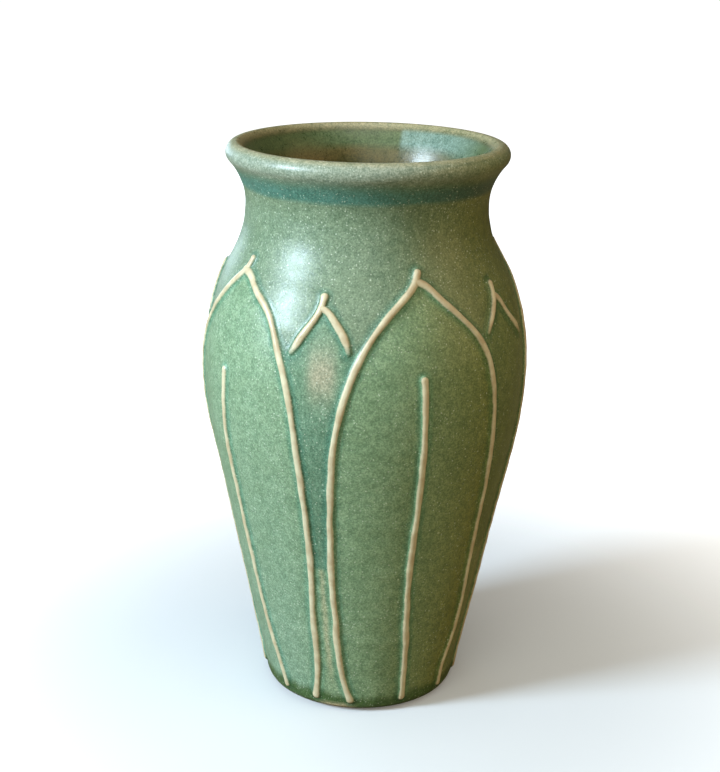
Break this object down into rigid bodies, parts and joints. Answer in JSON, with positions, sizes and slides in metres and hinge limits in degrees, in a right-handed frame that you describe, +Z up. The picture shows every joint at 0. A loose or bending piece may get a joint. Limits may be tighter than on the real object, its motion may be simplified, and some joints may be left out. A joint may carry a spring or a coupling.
{
  "type": "stoneware vase",
  "caption": "Hand-thrown stoneware vase with a rounded shoulder, short neck and flared lip, matt green glaze, and raised slip-trailed leaf outlines from shoulder to foot.",
  "frame": {"origin": "centre of the foot, on the surface the vase stands on", "axes": "+Z up along the throwing axis; -Y is the side that faces the viewer; +X to the viewer's right"},
  "size_m": [0.1019, 0.1019, 0.178],
  "materials": {
    "clay": "bare fired stoneware, dry and slightly gritty",
    "glaze": "matt crystalline green glaze",
    "liner": "matt dark olive glaze",
    "slip": "cream slip where the glaze breaks thin, satin"
  },
  "bodies": {
    "root": {"stoneware_body": "clay", "outer_glaze": "glaze", "liner_glaze": "liner", "leaf_1_left_line": "slip", "leaf_1_right_line": "slip", "leaf_1_midrib": "slip", "leaf_2_left_line": "slip", "leaf_2_right_line": "slip", "leaf_2_midrib": "slip", "leaf_3_left_line": "slip", "leaf_3_right_line": "slip", "leaf_3_midrib": "slip", "leaf_4_left_line": "slip", "leaf_4_right_line": "slip", "leaf_4_midrib": "slip", "leaf_5_left_line": "slip", "leaf_5_right_line": "slip", "leaf_5_midrib": "slip", "bud_1_left_line": "slip", "bud_1_right_line": "slip", "bud_2_left_line": "slip", "bud_2_right_line": "slip", "bud_3_left_line": "slip", "bud_3_right_line": "slip", "bud_4_left_line": "slip", "bud_4_right_line": "slip", "bud_5_left_line": "slip", "bud_5_right_line": "slip"}
  },
  "joints": []
}
